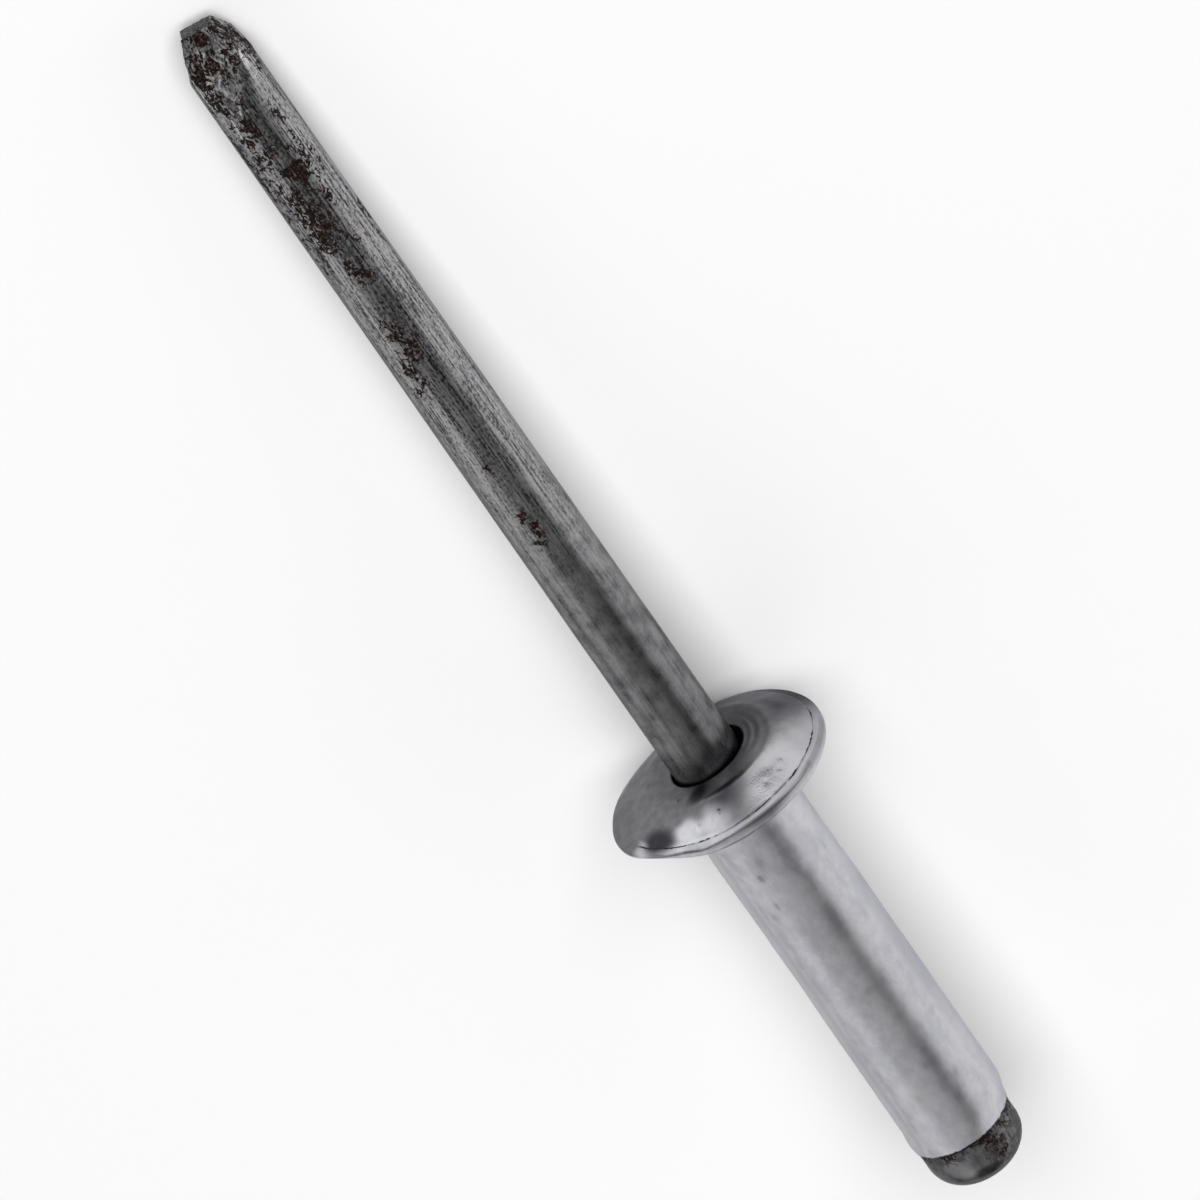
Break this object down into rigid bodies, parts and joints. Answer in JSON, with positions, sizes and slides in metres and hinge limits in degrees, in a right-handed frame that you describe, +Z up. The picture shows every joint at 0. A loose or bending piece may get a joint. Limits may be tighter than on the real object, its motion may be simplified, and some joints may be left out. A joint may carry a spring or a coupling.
{
  "type": "blind rivet",
  "caption": "Domed-head blind rivet, unset: an aluminium sleeve on a steel pulling mandrel with a pinched tip and a rounded head.",
  "frame": {"origin": "on the rivet's axis, in the plane of the flange's seating face", "axes": "+Z up from the surface it lies on; the axis lies in the XZ plane, 4.95 degrees off X, with the mandrel's tip towards -X and lowest and the blind end towards +X"},
  "size_m": [0.0427, 0.0066, 0.0065],
  "materials": {
    "aluminium": "satin, lightly dented",
    "steel": "drawn wire, brown rust spots towards the tip"
  },
  "bodies": {
    "root": {"rivet_body": "aluminium", "mandrel": "steel"}
  },
  "joints": []
}
